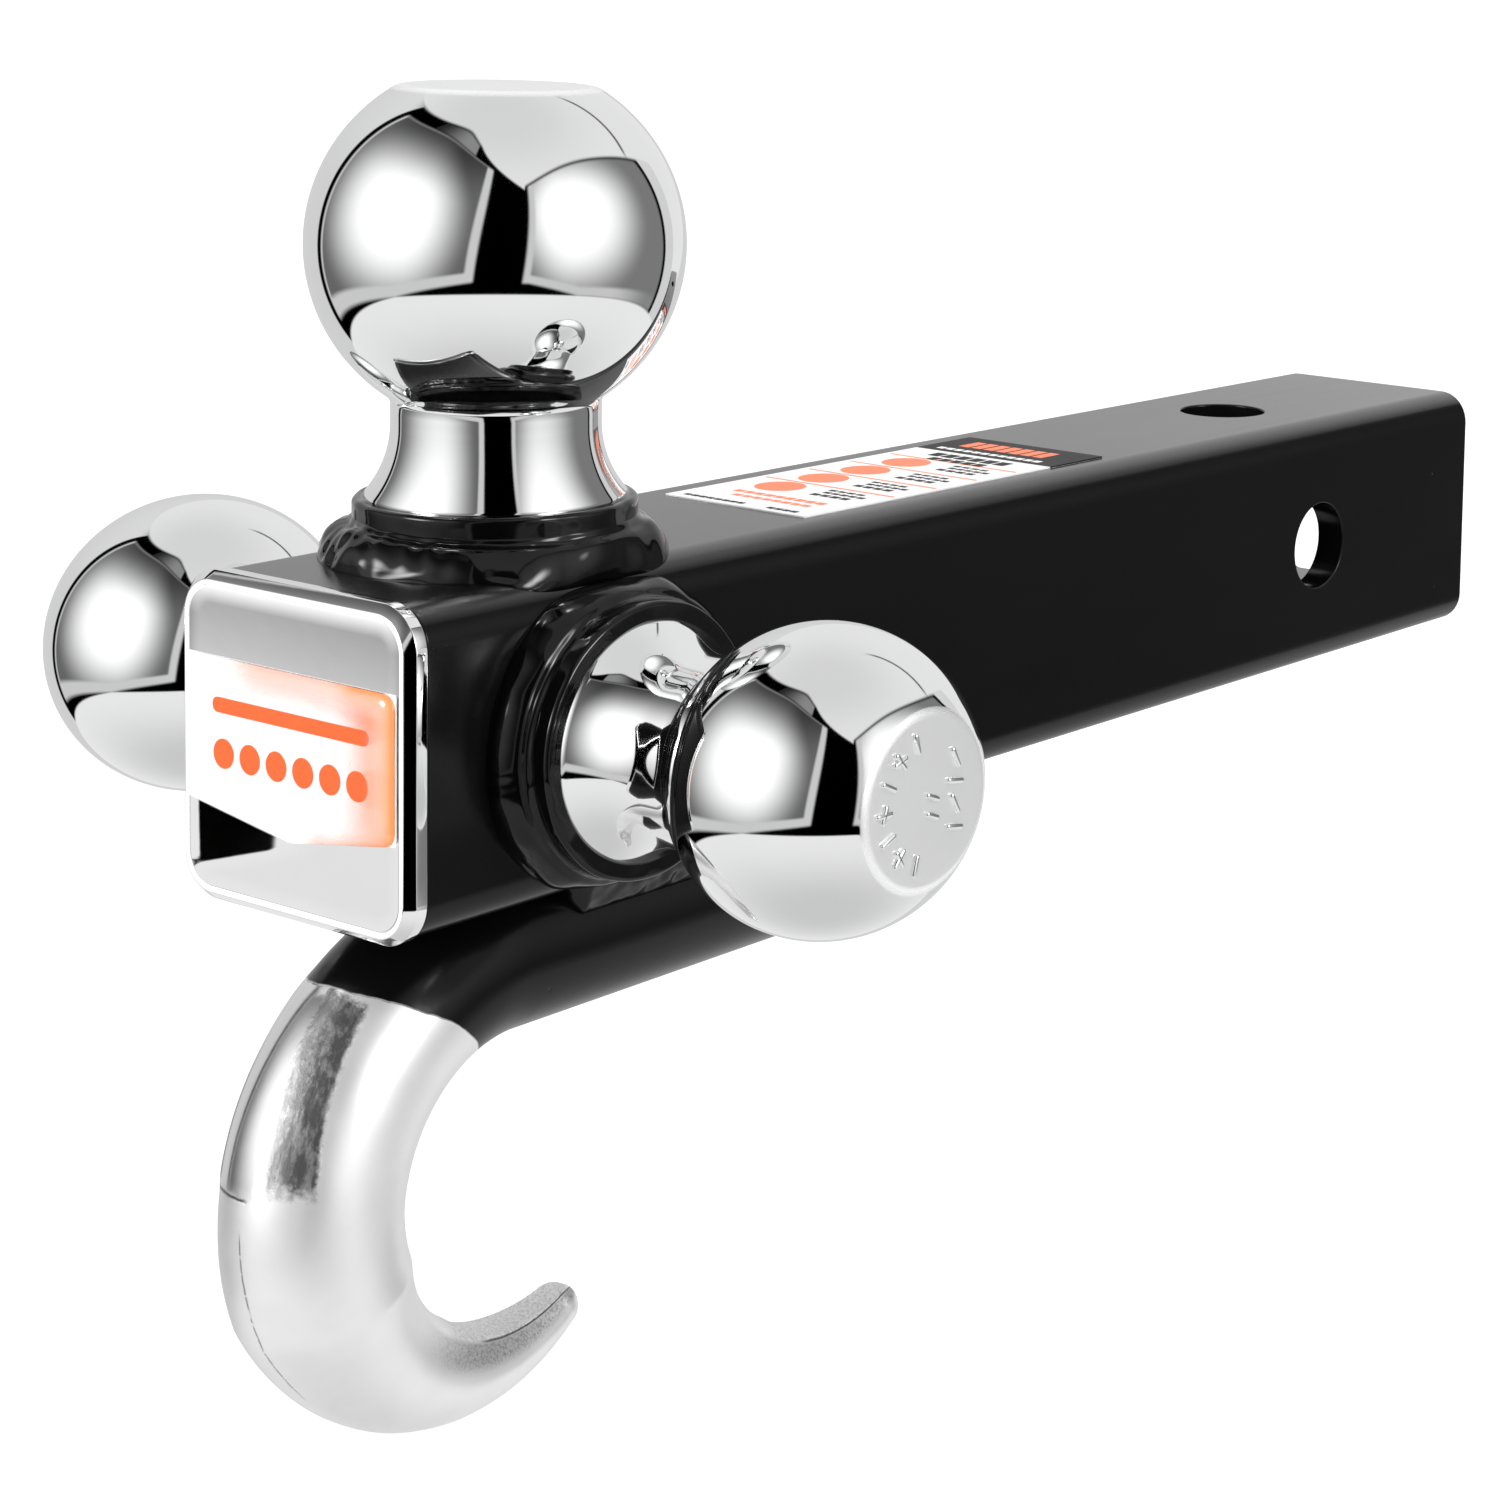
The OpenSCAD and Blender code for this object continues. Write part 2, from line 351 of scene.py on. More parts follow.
def hook_plating():
    """Satin plating over the hook's forging, under black paint from the arm's rear end to the paint line.
    turn is the angle the bar has turned through, side runs from -1 to 1 across it, outward from -1 to 1."""
    finish = Finish("hook_plating")
    turn = finish.stored("turn")
    side = finish.stored("side")
    height = finish.stored("outward")
    wander = finish.noise(5, detail=3) - 0.5
    ragged = finish.noise(1.6, detail=4, rough=0.7) - 0.5
    mottle = finish.noise(1.3, detail=4, rough=0.66, stretch=(1, 1.4, 2.6))
    grain = finish.noise(0.45, detail=3, rough=0.7)
    mill = finish.noise(6, detail=4)

    notch_turn = 81
    reflection_strip_turn = 42
    line = 31.5 + 9.5 * height + 1.6 * wander
    paint = turn.rise(line - 0.35, line + 0.35, 1.0, 0.0)
    bare = 1 - paint
    outside = height.rise(0.0, 0.1)

    polished = (turn + 3 * ragged).rise(notch_turn - 3, notch_turn + 2, 1.0, 0.0)
    shiny = outside * polished * (side + 0.12 * ragged).rise(0.10, 0.20, 1.0, 0.0)
    # A dark strip painted along one side of the bar, from turn 42 to the notch. It is a painted reflection of
    # the studio's dark gap, and the plating there is also rougher and carries mottled relief.
    across = side + 0.10 * ragged - 0.0055 * (turn - reflection_strip_turn)
    painted_reflection_strip = outside * across.rise(0.04, 0.14) * across.rise(0.54, 0.60, 1.0, 0.0)
    painted_reflection_strip = painted_reflection_strip * (turn + 8 * ragged).rise(reflection_strip_turn - 2, reflection_strip_turn + 1)
    painted_reflection_strip = painted_reflection_strip * (turn + 6 * ragged).rise(notch_turn - 5, notch_turn - 1, 1.0, 0.0)
    painted_reflection_dark = painted_reflection_strip * (0.74 + 0.26 * across.rise(0.10, 0.42)) * mottle.rise(0.44, 0.66, 1.0, 0.78)

    inner = (-height).rise(0.66, 0.76) * (turn + 6 * ragged).rise(150, 162)
    lip = (-height).rise(0.10, 0.45) * (-height).rise(0.66, 0.78, 1.0, 0.0) * side.rise(0.3, 0.5)
    lip = lip * turn.rise(128, 165) * grain.rise(0.35, 0.60, 1.0, 0.55)
    edge_line = (-height + 0.02 * ragged).bump(0.74, 0.035) * side.rise(0.0, 0.2) * turn.rise(168, 174)

    crack = (side - 0.24 * (turn - 87) / 38 - 0.06 * wander).bump(0.0, 0.022) * outside
    crack = crack * turn.rise(86, 89) * turn.rise(120, 127, 1.0, 0.0) * ragged.rise(-0.12, 0.02)
    notch = (turn - 1.3 * wander).bump(notch_turn, 0.6)
    notch = notch * side.rise(-0.7, -0.62) * side.rise(0.0, 0.1, 1.0, 0.0)
    pits = finish.cells(7).rise(0.03, 0.06, 1.0, 0.0) * finish.noise(7).rise(0.6, 0.66)
    marks = (crack * 0.7 + notch * outside + pits * 0.8 + edge_line * 0.8).least(1.0)
    dark = (painted_reflection_dark + marks + 0.72 * lip + 0.30 * inner * grain.rise(0.45, 0.62)).least(1.0)

    rim_shade = (-side).rise(-0.30, 0.55) * outside
    plated = finish.mix(mill, grey(0.80), grey(0.88))
    plated = finish.mix(0.42 * rim_shade * turn.rise(76, 84), plated, grey(0.30))
    plated = finish.mix(dark * 0.92, plated, grey(0.03))
    satin = bare * (1 - shiny)
    finish.set(base_color=finish.mix(paint, plated, grey(0.003)))
    finish.set(metallic=bare.rise(0.4, 0.6) * (1 - 0.28 * satin))
    finish.set(ior=1.30)
    skin = 0.13 + 0.21 * satin + 0.10 * painted_reflection_strip + 0.12 * inner + 0.04 * mill
    finish.set(roughness=skin + (0.20 - skin) * paint)
    finish.relief(mottle * painted_reflection_strip * bare, 0.16).relief(grain * lip * bare, 0.10)
    finish.relief(grain * inner * bare, 0.30)
    finish.relief(paint, 0.12).relief(marks, -0.15).relief(mill, 0.04)
    return finish.material


def cap_chrome():
    """Mirror plating of the pressed cap. The face's shading normal leans up above the badge and down below
    it, so that the flat face mirrors the studio from top to bottom. The ring round it leans up a little."""
    finish = Finish("cap_chrome")
    haze = finish.noise(9, detail=3)
    face = finish.stored("face")
    brim = finish.stored("brim")
    finish.set(metallic=1.0, base_color=finish.mix(haze, grey(0.90), grey(0.95)))
    finish.set(roughness=0.03 + 0.03 * haze)
    upper = finish.z.rise(-9, 11)
    shaded = (finish.z + 14.9 - 0.29 * finish.x).rise(-1.8, 1.4) * finish.x.rise(-6, 8, 1.0, 0.0)
    low_x = 0.12 - 0.15 * shaded
    low_z = 0.21 * shaded - 0.40
    high_z = 0.77 + 0.006 * (finish.z - 13)
    lean_x = low_x + (0.25 - low_x) * upper
    lean_z = low_z + (high_z - low_z) * upper
    finish.lean(lean_x * face + 0.16 * brim, 0.0, lean_z * face + 0.27 * brim)
    finish.relief(finish.noise(3, detail=1), 0.004)
    return finish.material


def plug_rubber():
    """Black moulded rubber of the insert, with a matt grain and scuffs."""
    finish = Finish("plug_rubber")
    scuffs = finish.noise(3, detail=4, stretch=(1, 0.3, 1))
    finish.set(base_color=finish.mix(scuffs, grey(0.012), grey(0.03)))
    finish.set(roughness=0.5 + 0.25 * scuffs)
    finish.relief(finish.noise(0.6, detail=3), 0.05)
    return finish.material


def printed(name, colour, fade, gloss=1.45):
    """Ink on a sticker: colour with a slight fade, a soft gloss and a trace of screen print texture."""
    finish = Finish(name)
    patches = finish.noise(6, detail=3)
    finish.set(base_color=finish.mix(patches * fade, colour, grey(0.9)))
    finish.set(roughness=0.32 + 0.12 * patches, ior=gloss)
    finish.relief(finish.noise(0.4, detail=1), 0.004)
    return finish.material


def clear_resin():
    """Domed resin: nearly clear, white sheen, and a painted orange glow along its right, upper left and lower
    edges, painted light that stands for the ink's colour gathered in the edge.
    """
    finish = Finish("clear_resin")
    edge = finish.stored("edge")
    drift = finish.noise(14, detail=2)
    right = finish.x.rise(8, 22)
    upper = finish.z.rise(6, 12) * finish.x.rise(-16, -6)
    lower = finish.z.rise(-9, -13) * finish.x.rise(2, 8)
    # Painted light: the orange glow is laid on as colour and opacity along these edges. It is not light that
    # comes from the ink.
    glow = edge * (right + 0.55 * upper + 0.6 * lower).least(1.0)
    finish.set(base_color=finish.mix(glow, (1.0, 0.97, 0.96, 1.0), (1.0, 0.27, 0.05, 1.0)))
    finish.set(roughness=0.04 + 0.03 * drift, ior=1.48, coat_weight=1.0, coat_roughness=0.03)
    finish.set(alpha=(0.03 + 0.75 * glow + 0.12 * edge).least(1.0))
    return finish.material


# ---------------------------------------------------------------- mesh tools


def grid_faces(rows, cols, wrap_rows):
    """Quads between neighbours in closed rows of points. wrap_rows joins the last row to the first."""
    faces = []
    for i in range(rows if wrap_rows else rows - 1):
        for j in range(cols):
            i2 = (i + 1) % rows
            j2 = (j + 1) % cols
            faces.append((i * cols + j, i * cols + j2, i2 * cols + j2, i2 * cols + j))
    return faces


def make_piece(name, points, faces, material, body, stands_for=(), slot=None, stored=None, smooth=True):
    """A mesh object from points in millimetres, welded and with its normals outward, riding on a CAD body.
    stored holds values per point for the shaders, by name."""
    mesh = bpy.data.meshes.new(name)
    mesh.from_pydata([tuple(p) for p in np.asarray(points, float) * MM], [], faces)
    for key, values in (stored or {}).items():
        mesh.attributes.new(key, "FLOAT", "POINT").data.foreach_set("value", np.asarray(values, np.float32))
    work = bmesh.new()
    work.from_mesh(mesh)
    bmesh.ops.remove_doubles(work, verts=work.verts, dist=1e-7)
    bmesh.ops.recalc_face_normals(work, faces=work.faces)
    for face in work.faces:
        face.smooth = smooth
    work.to_mesh(mesh)
    work.free()
    mesh.materials.append(material)
    piece = bpy.data.objects.new(name, mesh)
    bpy.context.scene.collection.objects.link(piece)
    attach(piece, body)
    if stands_for:
        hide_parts(*stands_for)
    return piece


def grid_shape(grid, wrap_rows=False, ends=False):
    """Points and faces of a skin over a grid of points, shape (rows, cols, 3), whose rows are closed loops.
    ends closes the first and the last row with a face each."""
    rows, cols = grid.shape[:2]
    faces = grid_faces(rows, cols, wrap_rows)
    if ends:
        faces.append(tuple(range(cols)))
        faces.append(tuple(range((rows - 1) * cols, rows * cols)))
    return grid.reshape(-1, 3), faces


def grid_piece(name, grid, material, body, wrap_rows=False, ends=False, stored=None, **options):
    """A piece from a grid of points, with its stored values in the grid's own order."""
    points, faces = grid_shape(grid, wrap_rows, ends)
    flat = {key: np.asarray(values, float).reshape(-1) for key, values in (stored or {}).items()}
    return make_piece(name, points, faces, material, body, stored=flat, **options)


def settle(piece):
    """Applies a piece's modifiers for good."""
    evaluated = piece.evaluated_get(bpy.context.evaluated_depsgraph_get())
    mesh = bpy.data.meshes.new_from_object(evaluated)
    piece.modifiers.clear()
    piece.data = mesh


def add_bevel(piece, width):
    """Rounds a piece's sharp edges, with flat faces kept flat."""
    bevel = piece.modifiers.new("edges", "BEVEL")
    bevel.width = width * MM
    bevel.segments = 3
    bevel.limit_method = "ANGLE"
    bevel.angle_limit = math.radians(30)
    weighted = piece.modifiers.new("flat", "WEIGHTED_NORMAL")
    weighted.keep_sharp = True


def arc(centre, radius, start, end, steps):
    """Points [u, v] along an arc, with angles in degrees from the u axis."""
    angles = np.radians(np.linspace(start, end, steps + 1))
    return [(centre[0] + radius * math.cos(a), centre[1] + radius * math.sin(a)) for a in angles]


def filleted(path, radii, steps=8):
    """An open path of [u, v] points with its inner corners rounded, by one radius per point, 0 for none."""
    out = []
    for k, (point, radius) in enumerate(zip(path, radii)):
        if radius == 0 or k in (0, len(path) - 1):
            out.append(tuple(point))
            continue
        here = Vector(point)
        back = (Vector(path[k - 1]) - here).normalized()
        ahead = (Vector(path[k + 1]) - here).normalized()
        half = back.angle(ahead) / 2
        reach = radius / math.tan(half)
        centre = here + (back + ahead).normalized() * radius / math.sin(half)
        first = here + back * reach - centre
        last = here + ahead * reach - centre
        swing = first.angle(last)
        for s in np.linspace(0, 1, steps + 1):
            spoke = (first * math.sin((1 - s) * swing) + last * math.sin(s * swing)) / math.sin(swing)
            out.append(tuple(centre + spoke))
    return out


def dense(path, step):
    """The path with extra points, so that no gap is wider than step."""
    out = [path[0]]
    for a, b in zip(path, path[1:]):
        n = max(1, math.ceil(math.dist(a, b) / step))
        out += [tuple(np.add(a, np.subtract(b, a) * k / n)) for k in range(1, n + 1)]
    return out


def rounded_outline(points, radius, steps=6):
    """A closed outline of [u, v] points with every corner rounded."""
    count = len(points)
    out = []
    for k in range(count):
        trio = [points[k - 1], points[k], points[(k + 1) % count]]
        out += filleted(trio, [0, radius, 0], steps)[1:-1]
    return out


def rounded_square(half, radius, steps=10):
    corners = [(-half, -half), (half, -half), (half, half), (-half, half)]
    return rounded_outline(corners, radius, steps)


def inset_outline(points, distance):
    """A convex outline, given anticlockwise, moved inwards."""
    count = len(points)
    moved = []
    for k in range(count):
        a, b, c = (Vector(points[(k + d) % count]) for d in (-1, 0, 1))
        n1 = Vector((a.y - b.y, b.x - a.x)).normalized()
        n2 = Vector((b.y - c.y, c.x - b.x)).normalized()
        moved.append(tuple(b + (n1 + n2) * distance / (1 + n1.dot(n2))))
    return moved


def slab(outline, y_front, y_back):
    """Points and faces of a flat prism whose outline lies in the XZ plane."""
    n = len(outline)
    points = [(u, y_front, v) for u, v in outline] + [(u, y_back, v) for u, v in outline]
    faces = [tuple(range(n)), tuple(range(n, 2 * n))]
    faces += [(i, (i + 1) % n, n + (i + 1) % n, n + i) for i in range(n)]
    return points, faces


def joined(shapes):
    """One list of points and one of faces from several."""
    points = []
    faces = []
    for more_points, more_faces in shapes:
        faces += [tuple(len(points) + i for i in face) for face in more_faces]
        points += list(more_points)
    return points, faces


# ---------------------------------------------------------------- shank


def drill(piece, axis, radius):
    """Cuts a hole through the piece along an axis through the origin."""
    outline = [(radius * math.cos(a), radius * math.sin(a)) for a in np.linspace(0, TURN, 97)[:-1]]
    past = 5
    points, faces = slab(outline, -HALF_W - past, HALF_W + past)
    turned = [(y, x, z) if axis == "X" else (x, z, y) for x, y, z in points]
    cutter = make_piece("cutter_" + axis, turned, faces, piece.data.materials[0], "mount")
    boolean = piece.modifiers.new("hole", "BOOLEAN")
    boolean.object = cutter
    boolean.solver = "EXACT"
    settle(piece)
    bpy.data.objects.remove(cutter)


def build_shank(paint):
    """The square tube with its rounded corners, crossed pin holes and eased rims."""
    loops = []
    for y in (FRONT_Y, REAR_Y):
        loops.append([(x, y, z) for x, z in rounded_square(HALF_W, CORNER_R)])
    for y in (REAR_Y, FRONT_Y):
        loops.append([(x, y, z) for x, z in rounded_square(HALF_W - WALL, INNER_CORNER_R)])
    tube = grid_piece("shank_tube_body", np.array(loops), paint, "mount", wrap_rows=True,
                      stands_for=["shank_tube"], smooth=False)
    for axis in "XZ":
        drill(tube, axis, PIN_HOLE_R)
    tube.data.shade_smooth()
    add_bevel(tube, 0.45)


# ---------------------------------------------------------------- balls


def station_matrix(tilt):
    """From a ball's own axes, standing on z = 0, to the frame, in millimetres."""
    place = Matrix.Translation((0, BALL_Y, 0))
    return place @ Matrix.Rotation(math.radians(tilt), 4, "Y") @ Matrix.Translation((0, 0, HALF_W))


def moved(points, matrix):
    m = np.array(matrix)
    return np.asarray(points, float) @ m[:3, :3].T + m[:3, 3]


def lathe(path):
    """A grid of points from a path of [radius, height]."""
    angles = np.linspace(0, TURN, LATHE_STEPS + 1)[:-1]
    return np.array([[(r * math.cos(a), r * math.sin(a), h) for a in angles] for r, h in path])


def flank_radius(foot):
    """Radius of the hollow flank that rises from a forging's chromed base to its neck."""
    rise = NECK_TOP_H - COLLAR_H
    run = foot[1] - foot[2]
    return (run * run + rise * rise) / (2 * run)


def forging_path(ball_r, centre_h, flat, foot):
    """Outline of neck and ball, from the foot's axis to the crown's, as [radius, height]."""
    base_r, neck_r = foot[1], foot[2]
    flank_r = flank_radius(foot)
    sweep = math.degrees(math.asin((NECK_TOP_H - COLLAR_H) / flank_r))
    flank = arc((neck_r + flank_r, NECK_TOP_H), flank_r, 180 + sweep, 180, 16)
    fillet = 1.8
    lift = math.sqrt((ball_r + fillet) ** 2 - (neck_r + fillet) ** 2)
    join = (neck_r + fillet, centre_h - lift)
    lean = math.degrees(math.atan2(lift, neck_r + fillet))
    throat = arc(join, fillet, 180, 180 - lean, 8)
    ease = 3.0
    crown_centre_r = math.sqrt((ball_r - ease) ** 2 - (flat - ease) ** 2)
    ease_angle = math.degrees(math.atan2(flat - ease, crown_centre_r))
    body = arc((0, centre_h), ball_r, -lean, ease_angle, 84)
    crown = arc((crown_centre_r, centre_h + flat - ease), ease, ease_angle, 90, 8)
    start = [(0, -0.3), (base_r, -0.3), (base_r, COLLAR_H - 0.2)]
    return start + flank + throat[1:] + body[1:] + crown[1:] + [(0, centre_h + flat)]


def neck_tilt(radius, height, foot):
    """How far the neck's surface faces up at this height. Taken off the shading normal of the upright neck,
    it keeps the studio's reflection in straight bands, as on a neck turned to a plain taper."""
    if radius < foot[2] - 0.01 or not COLLAR_H - 0.3 < height < NECK_TOP_H:
        return 0.0
    return 0.8 * (NECK_TOP_H - height) / flank_radius(foot)


def crown_marks(radius, crown_h):
    """Plain raised marks on a ball's crown: an arc of bars, some crossed, and two short rows of bars."""
    shapes = []

    def pill(x, y, heading, half_length, half_width):
        """One raised capsule, half a millimetre high, lying on the crown."""
        rows = []
        for inset, lift in ((0, -0.3), (0, 0.25), (0.16, 0.42), (0.40, 0.50)):
            width = max(half_width - inset, 0.05)
            ends = arc((half_length, 0), width, -90, 90, 5) + arc((-half_length, 0), width, 90, 270, 5)
            c, s = math.cos(heading), math.sin(heading)
            rows.append([(x + u * c - v * s, y + u * s + v * c, crown_h + lift) for u, v in ends])
        shapes.append(grid_shape(np.array(rows), ends=True))

    for k in range(7):
        a = math.radians(195 + 25 * k)
        spot = (radius * math.cos(a), radius * math.sin(a))
        pill(*spot, a, 1.3, 0.5)
        if k % 2:
            pill(*spot, a + math.radians(70), 1.1, 0.5)
    for k in range(4):
        pill(3.5 * k - 5.5, 6.3, 0.5 + 0.9 * (k % 2), 1.4, 0.5)
    for k in range(2):
        pill(2.8 * k - 0.5, 1.2, 1.2, 1.1, 0.5)
    return joined(shapes)


def build_ball(key, chrome, paint):
    """One forging, its painted collar and, on the near ball, the raised marks on its crown."""
    station = STATIONS[key]
    foot = station["foot"]
    place = station_matrix(station["tilt"])
    path = forging_path(station["ball_r"], station["centre_h"], station["flat"], foot)
    path = dense(path, 1.6)
    top = station["centre_h"] + station["flat"]
    crown_r = math.sqrt(station["ball_r"] ** 2 - station["flat"] ** 2) + 0.8
    fade = 1.8
    crown = [min(1.0, max(0.0, (h - top) / fade + 1)) if r < crown_r else 0.0 for r, h in path]
    upright = 1.0 if station["tilt"] == 0 else 0.0
    tilt_back = [-neck_tilt(r, h, foot) * upright for r, h in path]
    stored = {"crown": np.repeat(crown, LATHE_STEPS)}
    axis = place.to_3x3() @ Vector((0, 0, 1))
    for name, share in zip("xyz", axis):
        stored["lean_" + name] = np.repeat(tilt_back, LATHE_STEPS) * share
    grid_piece(key + "_ball_forging", moved(lathe(path), place), chrome, "mount",
               stands_for=[key + "_ball"], stored=stored)

    collar_r = foot[0]
    bore_r = foot[1] - 1.5
    ring = [(bore_r, -0.5), (collar_r, -0.5), (collar_r, COLLAR_H), (bore_r, COLLAR_H)]
    rings = lathe(dense(filleted(ring, [0, 0, 0.8, 0]), 0.9))
    for row in rings:
        for point in row:
            wobble = noise.noise(Vector(point) * 0.13 + Vector((station["tilt"], 0, 0)))
            out = Vector((point[0], point[1], 0)).normalized()
            point += np.array(out) * 0.12 * wobble
            point[2] += 0.10 * wobble if point[2] > COLLAR_H - 1 else 0.0
    grid_piece(key + "_ball_collar", moved(rings, place), paint, "mount", wrap_rows=True)

    if key == "near":
        points, faces = crown_marks(9.4, top)
        make_piece("near_ball_marks", moved(points, place), faces, chrome, "mount",
                   stored={"crown": np.zeros(len(points))})


# ---------------------------------------------------------------- weld beads


def shank_height(x):
    """Height of the shank's surface against its flat face, at x across it: it drops round the corner."""
    past = abs(x) - (HALF_W - CORNER_R)
    if past <= 0:
        return 0.0
    return math.sqrt(max(CORNER_R ** 2 - past ** 2, 0)) - CORNER_R


def soft_least(a, b, blend):
    """The smaller of two numbers, with the change from one to the other rounded."""
    h = max(blend - abs(a - b), 0) / blend
    return min(a, b) - h * h * blend / 4


def build_collar_weld(key, paint):
    """The bead round a collar, laid over the shank's face and down its rounded corners, uneven like hand
    welding. On the top ball it is wildest at its front, towards the middle ball."""
    station = STATIONS[key]
    collar_r = station["foot"][0] - 0.15
    corner_x = HALF_W - CORNER_R + CORNER_R * math.sin(math.radians(45))
    seed = Vector((station["tilt"] * 0.37 + 3.1, 1.7, 5.2))
    wildest = math.radians(-118)
    around = 420
    across = 30
    rows = []
    for j in range(around):
        a = TURN * j / around
        c, s = math.cos(a), math.sin(a)
        slow = noise.noise(Vector((1.1 * c, 1.1 * s, 0)) + seed)
        quick = noise.noise(Vector((4.2 * c, 4.2 * s, 7)) + seed)
        wild = 0.06
        if key == "top":
            wild = 0.10 + 0.9 * max(0.0, math.cos(a - wildest)) ** 3
        foot_r = station["bead_r"] + 0.7 * slow + 0.5 * quick * wild
        foot_r = soft_least(foot_r, corner_x / max(abs(c), 1e-6), 2.4)
        top_h = BEAD_H + 0.35 * slow + 0.5 * quick * wild
        foot_h = shank_height(foot_r * c) - 0.05
        start = Vector((collar_r, top_h))
        end = Vector((foot_r, foot_h))
        along = end - start
        out = Vector((-along.y, along.x)).normalized()
        if out.x < 0:
            out = -out
        section = [(collar_r - 1.6, min(foot_h, 0) - 1.6), (collar_r - 1.6, top_h - 0.4)]
        for k in range(across + 1):
            t = k / across
            belly = 1.05 * (4 * t * (1 - t)) ** 0.85 * (1 + 0.35 * slow)
            groove = -0.50 * math.exp(-((t - 0.15) / 0.09) ** 2)
            place = Vector((foot_r * c, foot_r * s, 6 * t))
            lumps = noise.noise(place * 0.13 + seed) * 0.55 + noise.noise(place * 0.34 + seed) * 0.75 * wild
            ripple = 0.028 * math.sin(a * 19 + 4.0 * (t - 0.5) ** 2 + 2 * slow)
            fade = min(1.0, 5 * t, 6 * (1 - t))
            lift = belly + groove + fade * (lumps + ripple)
            spot = start + along * t + out * lift
            section.append((spot.x, spot.y))
        section.append((foot_r - 0.9, foot_h - 1.9))
        rows.append([(r * c, r * s, h) for r, h in section])
    grid = moved(np.array(rows), station_matrix(station["tilt"]))
    grid_piece(key + "_ball_weld_bead", grid, paint, "mount", wrap_rows=True, stands_for=[key + "_ball_weld"])


def bead_lift(t, height, wave):
    """How far a fillet bead stands over the straight line of its section, at t of the way along that line."""
    return height * (4 * t * (1 - t)) ** 0.7 + min(1, 6 * t, 6 * (1 - t)) * wave


def build_hook_welds(paint):
    """Fillet beads where the hook's arm meets the shank: one along each side and one across the rear end."""
    leg = 6.5
    lap = 1.5
    root_z = -HALF_W + 0.9
    front_run = 5
    rear_run = 3
    blunt = 0.06
    for side, key in ((1, "near"), (-1, "far")):
        y0, y1 = side_weld_low.y, side_weld_high.y
        rows = []
        for y in np.linspace(y0, y1, 230):
            ease = min(1.0, (y - y0) / front_run + blunt, (y1 - y) / rear_run + blunt)
            ease = math.sqrt(max(ease, 0.0))
            slow = noise.noise(Vector((side * 9.0, y * 0.09, 2)))
            reach = ARM_R + lap * ease + 0.5 * slow * ease
            low = -HALF_W - 1.25 * leg * ease
            drop = low - ARM_Z
            touch = math.sqrt(max(ARM_R ** 2 - drop ** 2, 1.0))
            start = Vector((reach, -HALF_W + 0.02))
            end = Vector((touch, low))
            along = end - start
            out = Vector((-along.y, along.x)).normalized()
            section = [(touch - 5, root_z), (reach - 1.0, root_z)]
            for k in range(17):
                t = k / 16
                ripple = 0.07 * math.sin(y * 1.75 - 2.2 * (2 * t - 1) ** 2)
                lumps = 0.35 * noise.noise(Vector((t * 4, y * 0.35, side * 3.0)))
                lift = bead_lift(t, 0.75, ripple + lumps) * ease
                spot = start + along * t + out * lift
                section.append((spot.x, spot.y))
            section.append((touch - 2.2, low + 0.8))
            rows.append([(side * x, y, z) for x, z in section])
        grid_piece("hook_weld_bead_" + key, np.array(rows), paint, "mount", ends=True,
                   stands_for=["hook_weld_" + key])

    rows = []
    half = rear_weld_high.x
    foot_y = rear_weld_low.y
    for x in np.linspace(-half, half, 90):
        ease = math.sqrt(max(1 - (abs(x) / (half + 0.3)) ** 4, 0.02))
        section = [(foot_y - 1.0, root_z), (foot_y + leg * ease - 0.9, root_z)]
        for k in range(15):
            t = k / 14
            ripple = 0.15 * math.sin(x * 1.9 - 2 * (2 * t - 1) ** 2)
            lumps = 0.3 * noise.noise(Vector((x * 0.4, t * 4, 8)))
            lift = bead_lift(t, 0.9, ripple + lumps) * ease
            y = foot_y + leg * ease * (1 - t) + lift * 0.72
            z = -HALF_W - 1.1 * leg * ease * t - lift * 0.69
            section.append((y, z))
        section.append((foot_y - 1.0, -HALF_W - 1.1 * leg * ease + 0.4))
        rows.append([(x, y, z) for y, z in section])
    grid_piece("hook_weld_bead_rear", np.array(rows), paint, "mount", ends=True,
               stands_for=["hook_weld_rear"])


# ---------------------------------------------------------------- tow hook


def hook_centre(turn):
    """Centre line of the bent bar as (y, z), by the angle in degrees that the bar has turned through."""
    a = math.radians(turn)
    b = math.radians(BEND_TURN)
    bend = Vector((-BEND_REACH, ARM_Z - BEND_R))
    if turn <= BEND_TURN:
        return bend + BEND_R * Vector((-math.sin(a), math.cos(a)))
    throat = bend + (BEND_R - THROAT_R) * Vector((-math.sin(b), math.cos(b)))
    return throat + THROAT_R * Vector((-math.sin(a), math.cos(a)))


def hook_radius(turn):
    if turn <= TAPER_TURN:
        return ARM_R
    return ARM_R + (TIP_R - ARM_R) * (turn - TAPER_TURN) / (HOOK_TURN - TAPER_TURN)


def hook_rings():
    """(turn, centre, radius) for every ring of the bar, from the arm's rear end to the rounded tip."""
    rings = []
    end_chamfer = 1.2
    step = 0.9
    for y in np.linspace(ARM_END_Y, -BEND_REACH, 60):
        chamfer = max(0.0, end_chamfer - (ARM_END_Y - y))
        rings.append((0.0, Vector((y, ARM_Z)), ARM_R - chamfer))
    for turn in np.arange(step, HOOK_TURN - 0.4, step):
        rings.append((turn, hook_centre(turn), hook_radius(turn)))
    a = math.radians(HOOK_TURN)
    heading = Vector((-math.cos(a), -math.sin(a)))
    for lift in np.radians(np.linspace(0, 86, 9)):
        centre = hook_centre(HOOK_TURN) + heading * TIP_R * math.sin(lift)
        rings.append((HOOK_TURN, centre, TIP_R * math.cos(lift)))
    return rings


